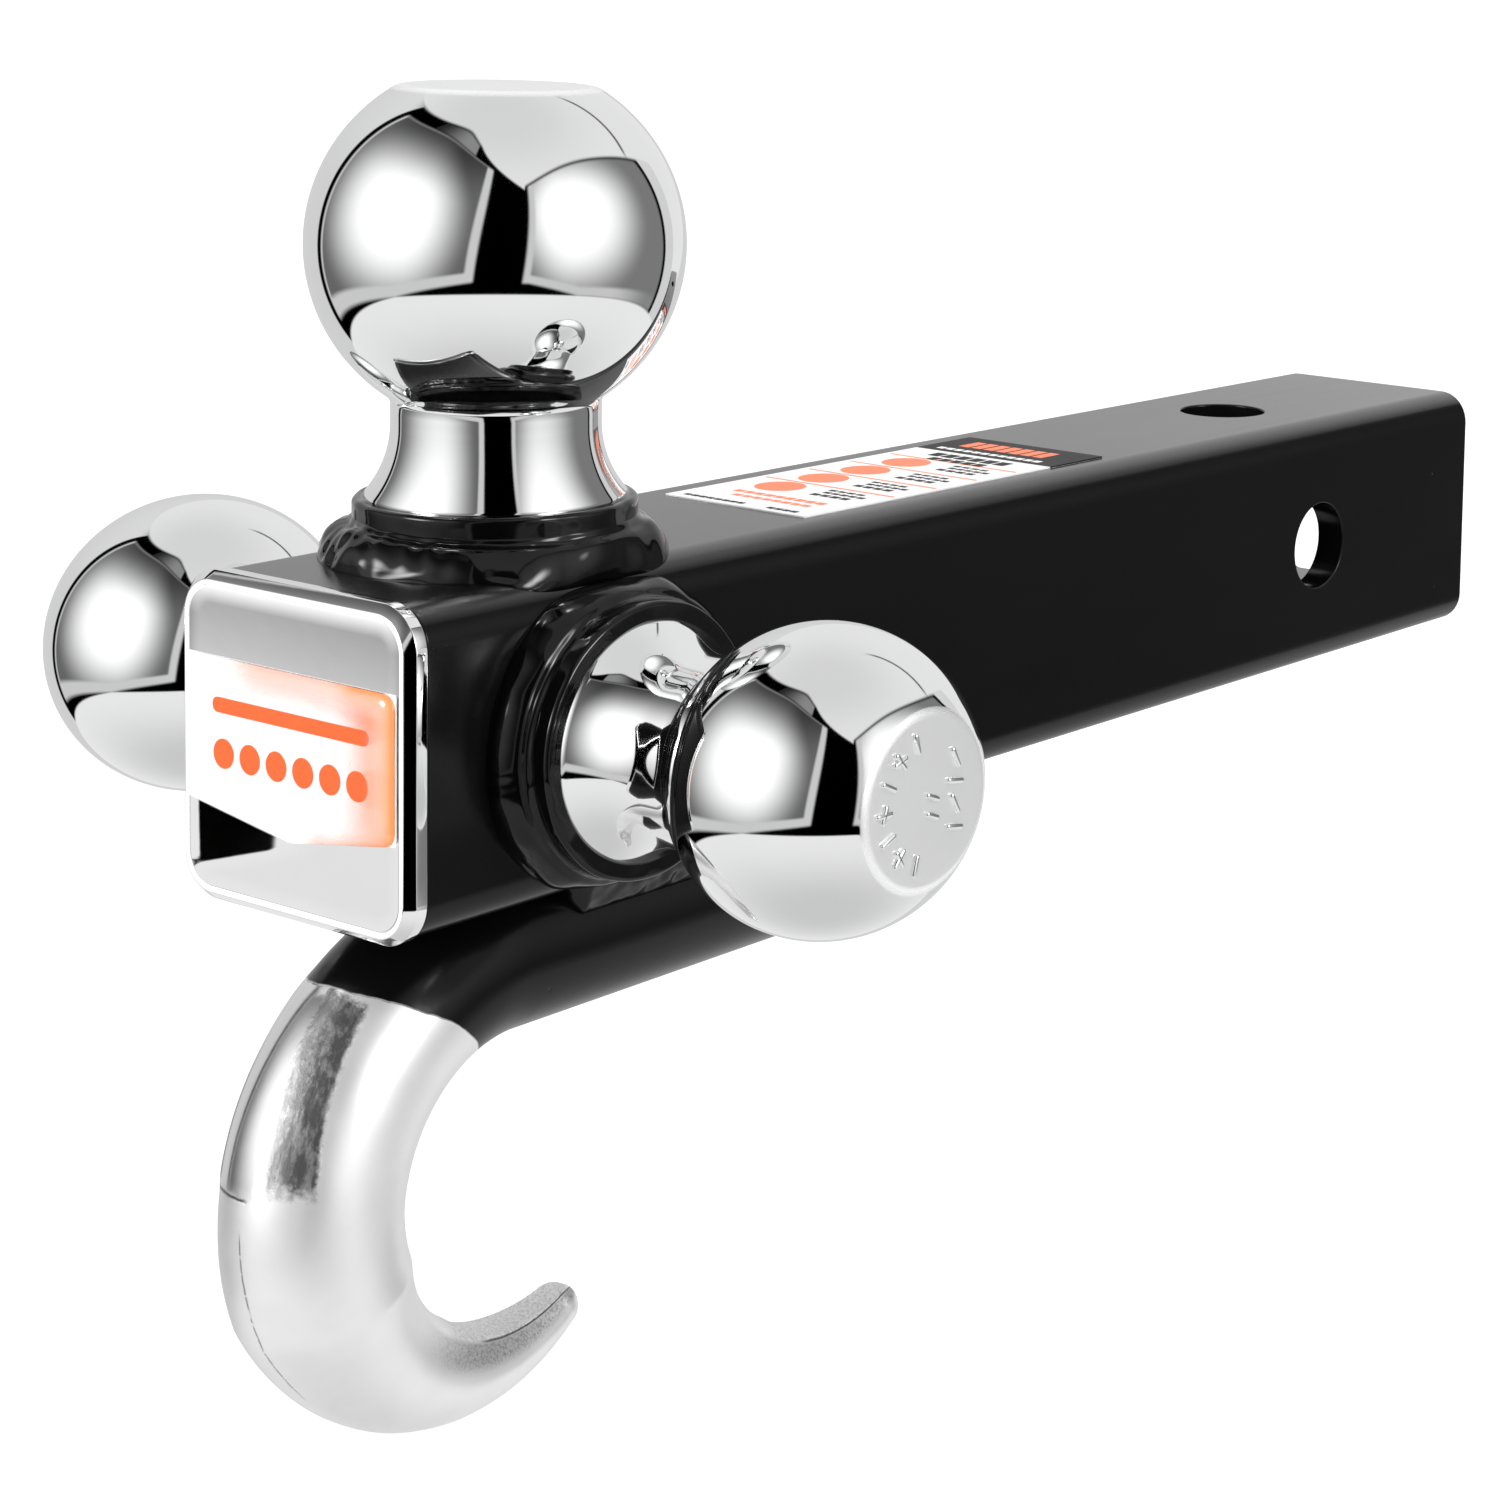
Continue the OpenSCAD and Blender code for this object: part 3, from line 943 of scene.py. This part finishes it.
def build_hook(plating):
    """The bent and tapered bar: forging flash on its outer side, a dressed flat inside the tip, and faint
    forging waves."""
    flash_angle = 130
    fine = np.arange(flash_angle - 6, flash_angle + 7, 0.8)
    angles = sorted(set(np.arange(0, 360, 3.6).round(2)) | set(fine.round(2)))
    rows, turns, sides, outwards = [], [], [], []
    for turn, centre, radius in hook_rings():
        t = math.radians(turn)
        outer = Vector((-math.sin(t), math.cos(t)))
        row = []
        for angle in angles:
            a = math.radians(angle)
            place = Vector((math.cos(a), math.sin(a), turn * 0.03))
            wave = 0.10 * noise.noise(place * 2.2)
            flash = 0.22 * math.exp(-((angle - flash_angle) / 1.5) ** 2)
            flash *= min(1, max(0, (turn - 36) / 6)) * min(1, max(0, (82 - turn) / 3))
            r = radius + (wave + flash) * min(1.0, turn / 12)
            x = r * math.cos(a)
            rise = r * math.sin(a)
            dressed = min(1, max(0, (turn - 158) / 22))
            flat = -radius * (1 - 0.20 * dressed)
            if rise < flat:
                rise = flat + 0.25 * (rise - flat)
            row.append((x, centre.x + rise * outer.x, centre.y + rise * outer.y))
        rows.append(row)
        turns.append([turn if turn > 0 else (centre.x + BEND_REACH) * -0.3] * len(angles))
        sides.append([math.cos(math.radians(angle)) for angle in angles])
        outwards.append([math.sin(math.radians(angle)) for angle in angles])
    grid_piece("tow_hook_bar", np.array(rows), plating, "mount", ends=True, stands_for=["tow_hook"],
               stored={"turn": turns, "side": sides, "outward": outwards})


# ---------------------------------------------------------------- front cap, badge and label


def build_cap(chrome):
    """The square plated cap with a rolled rim and a faint step round its face, and the boss behind it."""
    rim = 1.4
    band = 0.8
    step = 0.16
    corner_r = 7.2
    section = [(1.2, FRONT_Y), (0.0, FRONT_Y - 0.3), (0.0, CAP_FACE_Y + rim), (rim, CAP_FACE_Y)]
    section += [(rim + band, CAP_FACE_Y), (rim + band + 0.3, CAP_FACE_Y + step)]
    path = filleted(section, [0, 0.25, 0.3, 0.3, 0.12, 0], steps=4)
    path += [(inset, CAP_FACE_Y + step) for inset in (5.0, 7.0, 10.0, 14.0, 18.0, 22.0)]
    rows, face, brim = [], [], []
    for inset, y in path:
        outline = rounded_square(CAP_HALF - inset, max(corner_r - inset, 0.4), 12)
        rows.append([(x, y, z) for x, z in outline])
        face.append([1.0 if inset > rim + band + 0.25 else 0.0] * len(outline))
        brim.append([1.0 if rim + 0.1 < inset < rim + band + 0.05 else 0.0] * len(outline))
    # A ring drawn in on the cap's back, so that its flat back face stays clear of the rolled edge
    rows.insert(0, [(x * 0.9, FRONT_Y, z * 0.9) for x, y, z in rows[0]])
    face.insert(0, face[0])
    brim.insert(0, brim[0])
    boss_half = 8
    boss_end = FRONT_Y + 11
    chamfer = 0.6
    boss = [[(x, y, z) for x, z in rounded_square(boss_half - inset, 0.9 - inset * 0.5, 4)]
            for inset, y in ((0, FRONT_Y - 0.5), (0, boss_end - chamfer), (chamfer, boss_end))]
    boss_points, boss_faces = grid_shape(np.array(boss), ends=True)
    points, faces = joined([grid_shape(np.array(rows), ends=True), (boss_points, boss_faces)])
    boss_values = np.zeros(len(boss_points))
    stored = {"face": np.append(np.ravel(face), boss_values), "brim": np.append(np.ravel(brim), boss_values)}
    make_piece("front_cap_shell", points, faces, chrome, "cap", ["front_cap"], stored=stored)


def badge_corners():
    """The badge's outline, anticlockwise as seen from the front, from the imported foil's own points."""
    half = foil_high.x
    places = [v.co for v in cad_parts["badge_foil"].data.vertices]
    corner_z = min(place.z / MM for place in places if place.x / MM > half - 0.01)
    return [(-half, foil_high.z), (-half, corner_z), (0, foil_low.z), (half, corner_z), (half, foil_high.z)]


def build_badge(resin, ink):
    """The resin pillow over the foil, and a plain printed emblem: a bar above a row of discs."""
    corners = badge_corners()
    front = foil_low.y
    height = front - dome_low.y
    gap = 0.03
    rows, edge = [], []
    # A quarter round up to most of the height, then a shallow crown, as (inset, share of the height)
    round_w = 2.6
    round_share = 0.86
    middle = 8.0
    steps = [(0.0, 0.0)]
    for a in np.radians(np.linspace(12, 90, 9)):
        steps.append((round_w * (1 - math.cos(a)), round_share * math.sin(a)))
    for inset in (3.6, 4.8, 6.2, middle):
        fall = ((middle - inset) / (middle - round_w)) ** 2
        steps.append((inset, round_share + (1 - round_share) * (1 - fall)))
    for inset, share in steps:
        outline = rounded_outline(inset_outline(corners, inset), max(1.1, 2.4 - inset * 0.2), 5)
        rows.append([(x, front - gap - (height - gap) * share, z) for x, z in outline])
        edge.append([max(0.0, 1 - inset / 4.5) ** 1.2] * len(outline))
    grid_piece("badge_pillow", np.array(rows), resin, "cap", ends=True, stands_for=["badge_dome"],
               stored={"edge": edge})
    bar = rounded_outline([(-17.5, 4.3), (17.5, 4.3), (17.5, 6.7), (-17.5, 6.7)], 1.15)
    discs = [arc((-15 + 6 * k, -2.0), 2.35, 0, 345, 23) for k in range(6)]
    ink_t = 0.08
    shapes = [slab(outline, front - ink_t, front) for outline in [bar] + discs]
    points, faces = joined(shapes)
    make_piece("badge_emblem", points, faces, ink, "cap", slot="badge_print", smooth=False)


def build_label(dark, orange, white):
    """Generic print on the shank's label: a dark header, four discs, cell lines and rows of plain bars."""
    z = label_high.z
    x0, x1 = label_low.x, label_high.x
    y0, y1 = label_low.y, label_high.y
    shapes = {"dark": [], "orange": [], "white": []}
    ink_t = 0.05
    over_ink_t = 0.08

    def patch(ink, xa, xb, ya, yb, lift=ink_t):
        """A printed rectangle. x and y are shares of the label's width and length, from its front corner
        on the far side."""
        xs = [x0 + (x1 - x0) * share for share in (xa, xb)]
        ys = [y0 + (y1 - y0) * share for share in (ya, yb)]
        outline = [(xs[0], ys[0]), (xs[1], ys[0]), (xs[1], ys[1]), (xs[0], ys[1])]
        points, faces = slab(outline, z - 0.2, z + lift)
        shapes[ink].append(([(x, y, h) for x, h, y in points], faces))

    def bars(ink, xa, xb, ya, yb, count, gap, lift=ink_t):
        """A row of count plain bars that stands for a line of print."""
        step = (xb - xa) / count
        for k in range(count):
            patch(ink, xa + step * k, xa + step * (k + 1 - gap), ya, yb, lift)

    patch("dark", -0.002, 1.002, 0.81, 1.001)
    bars("orange", 0.16, 0.80, 0.885, 0.955, 7, 0.22, over_ink_t)
    bars("white", 0.10, 0.88, 0.832, 0.852, 12, 0.25, over_ink_t)
    bars("dark", 0.22, 0.80, 0.745, 0.785, 6, 0.2)
    bars("dark", 0.30, 0.72, 0.700, 0.732, 5, 0.2)
    for k in range(4):
        ya = 0.175 + 0.137 * k
        disc_centre = (x0 + (x1 - x0) * 0.30, y0 + (y1 - y0) * (ya + 0.05))
        disc = arc(disc_centre, 4.6, 0, 350, 35)
        points, faces = slab(disc, z - 0.02, z + ink_t)
        shapes["orange"].append(([(x, y, h) for x, h, y in points], faces))
        patch("orange", 0.04, 0.97, ya + 0.112, ya + 0.119)
        bars("dark", 0.58, 0.86, ya + 0.020, ya + 0.038, 4, 0.25)
        bars("dark", 0.60, 0.90, ya + 0.052, ya + 0.066, 5, 0.25)
        bars("dark", 0.58, 0.84, ya + 0.080, ya + 0.092, 4, 0.25)
    bars("orange", 0.20, 0.86, 0.120, 0.140, 9, 0.22)
    bars("orange", 0.28, 0.84, 0.083, 0.100, 8, 0.22)
    bars("dark", 0.08, 0.52, 0.020, 0.034, 8, 0.22)
    bars("dark", 0.68, 0.90, 0.020, 0.034, 4, 0.22)
    for ink, material in (("dark", dark), ("orange", orange), ("white", white)):
        points, faces = joined(shapes[ink])
        make_piece("label_print_" + ink, points, faces, material, "mount", slot="label_film", smooth=False)


def dress_cad(node, material):
    """Gives a CAD node that stays in view its own finish."""
    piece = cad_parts[node]
    piece.data.materials.clear()
    piece.data.materials.append(material)
    for place in piece.material_slots:
        place.link = "OBJECT"
        place.material = material


# ---------------------------------------------------------------- studio


def panel(az, el, left, right, low, high, soft=1.2):
    """1 inside a four-sided patch of the sky, 0 outside. Each side is a number or a Num, so it may lean."""
    inside = (az - left).rise(-soft, soft) * (az - right).rise(-soft, soft, 1.0, 0.0)
    return inside * (el - low).rise(-soft, soft) * (el - high).rise(-soft, soft, 1.0, 0.0)


def pool(az, el, centre, reach):
    """How far a direction is from the bright middle of a soft box, 1 at its reach, which is given to the
    left, right, down and up."""
    across = az - centre[0]
    upward = el - centre[1]
    across = across.most(0.0) / reach[1] + (-across).most(0.0) / reach[0]
    upward = upward.most(0.0) / reach[3] + (-upward).most(0.0) / reach[2]
    return (across * across + upward * upward).root()


def build_world():
    """White to the camera, even light for matt surfaces, and for mirrors a studio of two soft boxes with a
    dark gap between them, a ceiling, a rear wall with a seam, and a floor. az and el are in degrees."""
    world = bpy.data.worlds.new("studio")
    bpy.context.scene.world = world
    world.use_nodes = True
    tree = world.node_tree
    background = tree.nodes["Background"]
    x, y, z = split(tree, add_node(tree, "TexCoord").outputs["Generated"])
    az = x.bearing(-y) * math.degrees(1)
    el = z.arc_sine() * math.degrees(1)

    floor_line = -25.0 - (-az - 20).most(0.0) * 0.09
    left_high = 65 - ((az + 15) / 65).power(2.0) * 17
    left_low = -25.0 + (az + 20).most(0.0) * 0.145
    left_edge = 35.3 + 0.165 * el
    right_high = 47 - (az - 105).power(2.0) * 0.0055
    right_low = -18.0 - (az - 66).most(0.0).least(33.0) * 0.21
    right_edge = 64.5 + 0.12 * el
    bow = (az + 8).power(2.0)
    ceiling_left = (74.3 - bow * (az + 8).rise(-1, 1, 0.0035, 0.0063)).least(38 + (67 - az) * 0.72)
    around = az + az.rise(-1, 1, 360, 0)

    left_box = panel(az, el, -80.0, left_edge, left_low, left_high)
    left_core = panel(az, el, -78.0, left_edge - 5.5, left_low + 6, left_high)
    left_pool = pool(az, el, (-16, 20), (64, 44, 50, 44))
    left_glow = left_pool.rise(0.30, 1.12, 1.25, 0.14) * el.rise(28, 64, 1.0, 0.30)
    left_glow = left_core * (left_glow + left_pool.rise(0.0, 0.34, 20.0, 0.0)) + (1 - left_core) * 0.62
    right_box = panel(az, el, right_edge, 166.0, right_low, right_high)
    right_core = panel(az, el, right_edge + 4, 168.0, right_low + 5, right_high + 3)
    right_pool = pool(az, el, (94, 21), (36, 56, 48, 36))
    right_glow = right_pool.rise(0.30, 1.10, 1.25, 0.20) + right_pool.rise(0.0, 0.34, 20.0, 0.0)
    right_glow = right_core * right_glow + (1 - right_core) * az.rise(120, 160, 0.6, 0.25)

    ceiling_line = az.rise(66.5, 67.5) * (right_high + 1.2) + az.rise(66.5, 67.5, 1.0, 0.0) * ceiling_left
    ceiling = (el - ceiling_line).rise(-1.0, 1.5) * el.rise(35, 80, 0.82, 0.70)
    fold = panel(az, el, -46.0, 24.0, left_high + 1.0, ceiling_left - 1.0) * az.rise(-46, 10, 0.02, 0.26)
    behind = (az.rise(168.5, 170) + az.rise(-86, -84, 1.0, 0.0)).least(1.0)
    rear = behind * el.rise(-5, 45, 0.66, 0.74) * el.rise(46, 62, 1.0, 0.0)
    seam = (el - 33 - (around - 165) * 0.7).bump(0, 2.2)
    seam = seam * around.rise(160, 166) * around.rise(188, 196, 1.0, 0.0)
    ground = (el - floor_line).rise(-0.6, 0.6, 1.0, 0.0)

    light = left_box * left_glow + right_box * right_glow
    light = light.most(ceiling).most(rear).most(fold) * (1 - 0.95 * seam)
    light = light * (1 - ground) + ground * el.rise(-80, -28, 0.62, 0.86)

    path = add_node(tree, "LightPath")
    to_camera = Num(tree, path.outputs["Is Camera Ray"])
    to_matt = Num(tree, path.outputs["Is Diffuse Ray"])
    light = light * (1 - to_matt) + to_matt * (1.12 + 0.15 * el.rise(-30, 60))
    light = light * (1 - to_camera) + to_camera * 1.1
    colour = add_node(tree, "CombineXYZ", light, light, light)
    feed(tree, colour.outputs[0], background.inputs["Color"])
    background.inputs["Strength"].default_value = 1.0


def build_floor(level):
    """A wide pale floor, seen from above only. Mirrors don't see it: the studio's floor is in their world."""
    material = bpy.data.materials.new("pale_floor")
    material.use_nodes = True
    tree = material.node_tree
    tree.nodes.clear()
    glow = add_node(tree, "Emission", grey(1.0), 0.74).outputs[0]
    matt = add_node(tree, "BsdfDiffuse", grey(0.36)).outputs[0]
    both = add_node(tree, "AddShader", glow, matt).outputs[0]
    see_through = add_node(tree, "BsdfTransparent").outputs[0]
    from_below = add_node(tree, "NewGeometry").outputs["Backfacing"]
    sided = add_node(tree, "MixShader", from_below, both, see_through).outputs[0]
    add_node(tree, "OutputMaterial", sided)
    mesh = bpy.data.meshes.new("floor")
    side = 12.0
    corners = [(-side, -side, level), (side, -side, level), (side, side, level), (-side, side, level)]
    mesh.from_pydata(corners, [], [(0, 1, 2, 3)])
    mesh.materials.append(material)
    floor = bpy.data.objects.new("floor", mesh)
    bpy.context.scene.collection.objects.link(floor)
    floor.visible_glossy = False
    floor.visible_diffuse = False


def build_camera():
    """A long lens from the front, on the side of the small ball, with the frame shifted off its axis."""
    place = Vector((403.07, -571.65, 134.26)) * MM
    az, el, roll = math.radians(32.37), math.radians(5.84), math.radians(1.8)
    back = Vector((math.sin(az) * math.cos(el), -math.cos(az) * math.cos(el), math.sin(el)))
    right = Vector((math.cos(az), math.sin(az), 0))
    up = back.cross(right)
    tilted_right = right * math.cos(roll) + up * math.sin(roll)
    tilted_up = up * math.cos(roll) - right * math.sin(roll)
    data = bpy.data.cameras.new("camera")
    data.lens = 80.34
    data.sensor_width = 36.0
    data.clip_start = 0.01
    data.clip_end = 50
    camera = bpy.data.objects.new("camera", data)
    bpy.context.scene.collection.objects.link(camera)
    axes = Matrix((tilted_right, tilted_up, back)).transposed()
    camera.matrix_world = Matrix.Translation(place) @ axes.to_4x4()
    bpy.context.scene.camera = camera
    home = bpy.data.objects.new("camera_home", None)
    bpy.context.scene.collection.objects.link(home)
    home.location = place
    shift_at_home(camera, home, "shift_x", -0.4224)
    shift_at_home(camera, home, "shift_y", -0.3421)


def shift_at_home(camera, home, field, amount):
    """Shifts the frame off the lens's axis while the camera stands at its home, so that any other view is
    centred."""
    curve = camera.data.driver_add(field)
    for modifier in list(curve.modifiers):
        curve.modifiers.remove(modifier)
    curve.driver.type = "AVERAGE"
    distance = curve.driver.variables.new()
    distance.type = "LOC_DIFF"
    distance.targets[0].id = camera
    distance.targets[1].id = home
    near = 0.05
    for gap, value in ((0.0, amount), (near, amount), (2 * near, 0.0)):
        key = curve.keyframe_points.insert(gap, value)
        key.interpolation = "LINEAR"


# ---------------------------------------------------------------- everything together

view = bpy.context.scene.view_settings
view.view_transform = "Standard"
view.look = "None"

coat = powder_coat()
wet_paint = painted_weld()
ball_plating = ball_chrome()
orange_ink = printed("badge_print", (1.0, 0.10, 0.0, 1.0), 0.0)
label_orange = printed("label_orange", (0.95, 0.16, 0.03, 1.0), 0.08)
label_dark = printed("label_dark", grey(0.006), 0.01, gloss=1.15)
label_white = printed("label_film", grey(0.86), 0.2)
foil_white = printed("badge_foil_white", grey(0.9), 0.1)

build_shank(coat)
for station_key in STATIONS:
    build_ball(station_key, ball_plating, wet_paint)
    build_collar_weld(station_key, wet_paint)
build_hook(hook_plating())
build_hook_welds(wet_paint)
build_cap(cap_chrome())
build_badge(clear_resin(), orange_ink)
build_label(label_dark, label_orange, label_white)
dress_cad("cap_plug", plug_rubber())
dress_cad("badge_foil", foil_white)
dress_cad("rating_label", label_white)

build_world()
floor_gap = 0.5 * MM
build_floor(cad_box[0].z - floor_gap)
build_camera()
